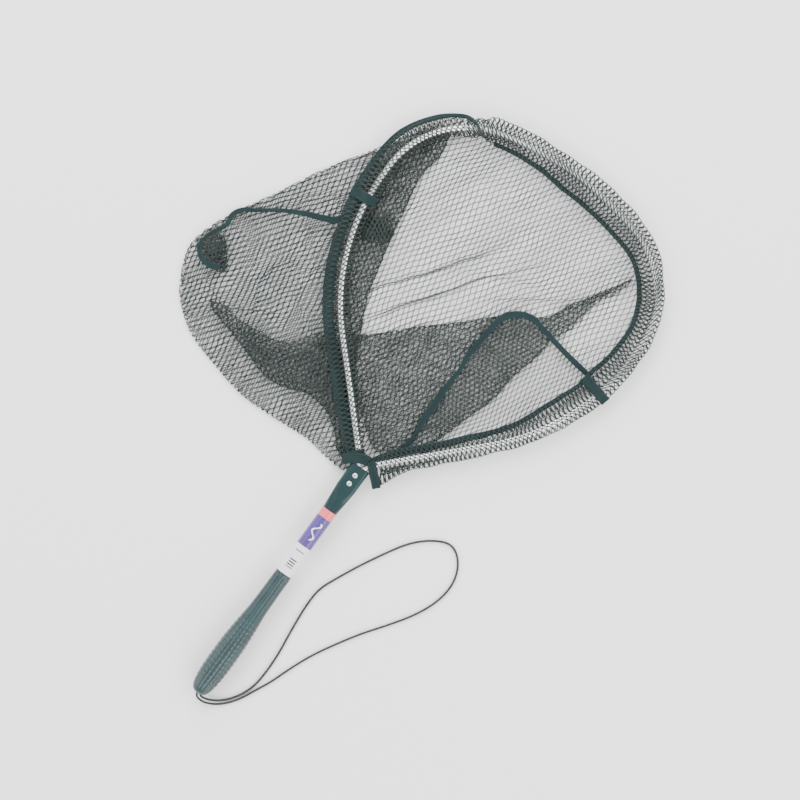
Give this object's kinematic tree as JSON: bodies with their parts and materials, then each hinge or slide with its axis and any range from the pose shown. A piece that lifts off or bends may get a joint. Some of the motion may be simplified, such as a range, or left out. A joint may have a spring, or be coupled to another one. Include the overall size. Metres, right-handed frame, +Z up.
{
  "type": "landing net",
  "caption": "Hand landing net: closed rounded tube hoop with a sleeved mesh bag, riveted tube handle with moulded grip, and a cord wrist loop, laid flat.",
  "frame": {"origin": "middle of the footprint of the net without its lanyard, on the surface it lies on", "axes": "+Y from the grip's butt to the far end of the hoop; +Z up, square to the hoop; the bag lies out towards -X"},
  "size_m": [0.518, 0.7833, 0.0312],
  "materials": {
    "hoop_alloy": "satin drawn tube",
    "handle_paint": "gloss dark green enamel",
    "rivet_alloy": "satin",
    "mandrel_steel": "dull",
    "label_film": "printed gloss film",
    "grip_rubber": "fluted, textured",
    "cord": "braided",
    "netting": "knotless hexagonal mesh",
    "binding_tape": "woven binding tape"
  },
  "bodies": {
    "root": {"hoop_tube": "hoop_alloy", "handle_tube": "handle_paint", "rivets": "rivet_alloy", "rivet_mandrels": "mandrel_steel", "label": "label_film", "grip": "grip_rubber", "lanyard": "cord", "lanyard_knot": "cord", "hem_right_arm": "netting", "hem_far_end": "netting", "hem_left_arm": "netting", "rim_tape_right": "binding_tape", "rim_tape_far": "binding_tape", "rim_tape_left": "binding_tape", "hoop_tab_right": "binding_tape", "hoop_tab_left": "binding_tape", "hem_end_tape_right": "binding_tape", "hem_end_tape_left": "binding_tape", "net_far_panel": "netting", "net_near_panel": "netting", "seam_tape_right": "binding_tape", "seam_tape_left": "binding_tape"}
  },
  "joints": []
}
